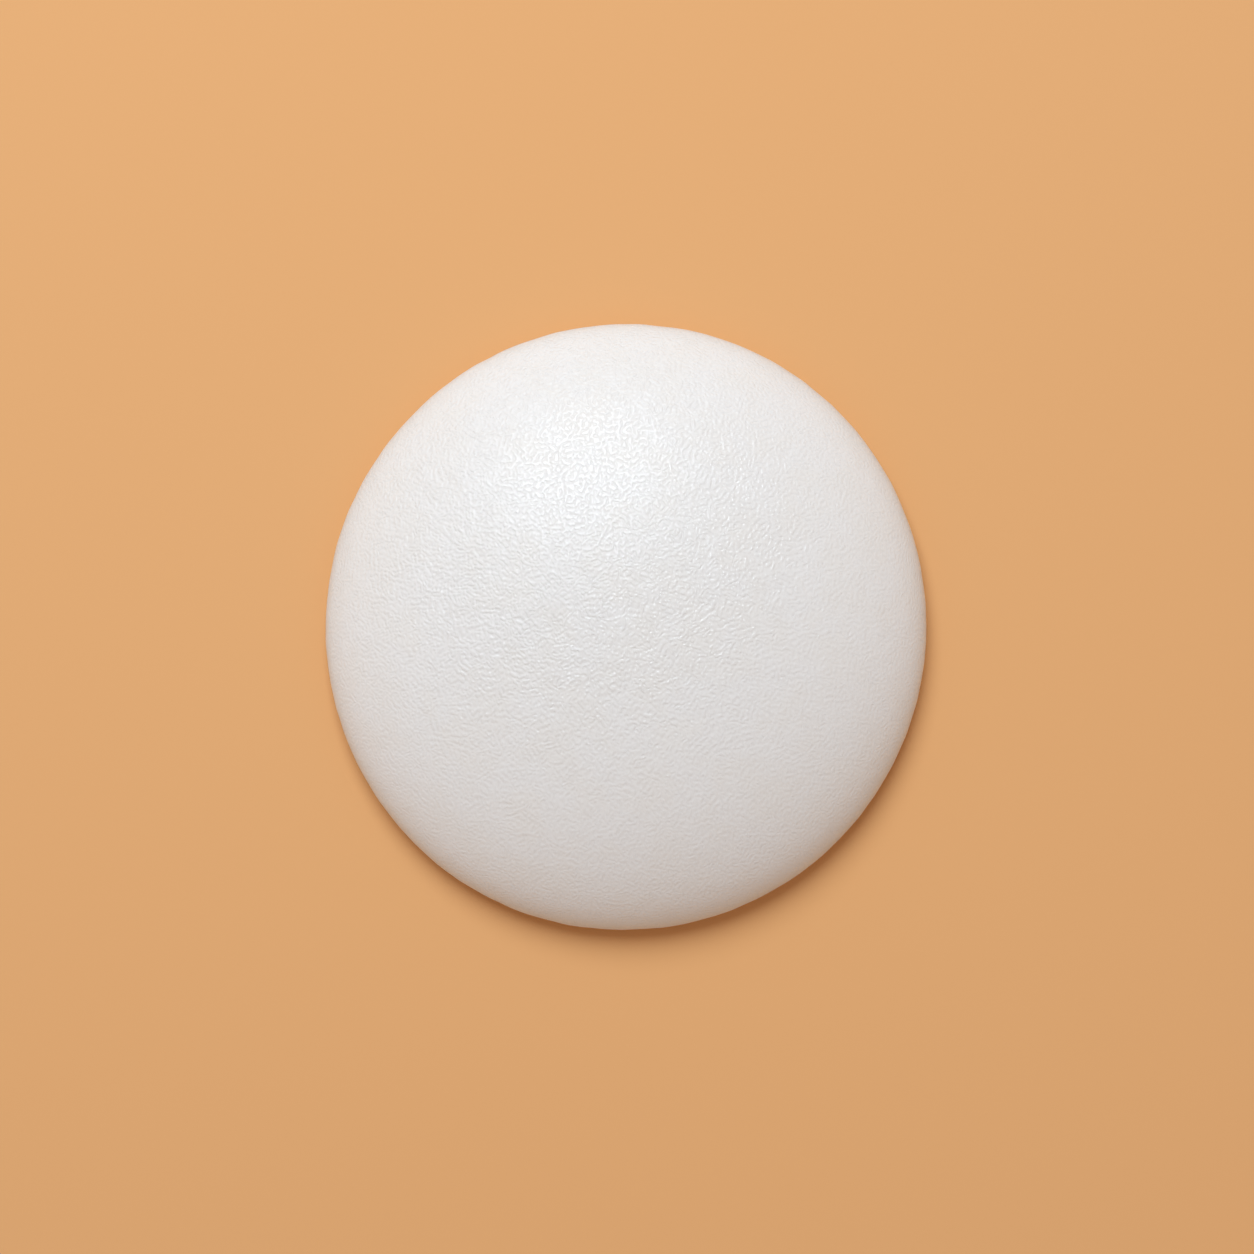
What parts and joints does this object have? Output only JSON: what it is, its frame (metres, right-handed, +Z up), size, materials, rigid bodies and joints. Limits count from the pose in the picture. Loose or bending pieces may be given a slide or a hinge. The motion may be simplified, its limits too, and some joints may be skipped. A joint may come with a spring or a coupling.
{
  "type": "cheese wheel",
  "caption": "Whole small soft-ripened cheese: a low round wheel with a domed white wrinkled rind, a rounded rim and a flat underside to rest on.",
  "frame": {"origin": "middle of the flat underside, on the surface that the cheese rests on", "axes": "+Z up through the top of the dome; the wheel's longest diameter lies 14 degrees off Y, from +Y towards +X"},
  "size_m": [0.1194, 0.1206, 0.026],
  "materials": {
    "rind": "satin off-white rind with fine worm-like wrinkles about 1 mm apart"
  },
  "bodies": {
    "root": {"cheese_wheel": "rind"}
  },
  "joints": []
}
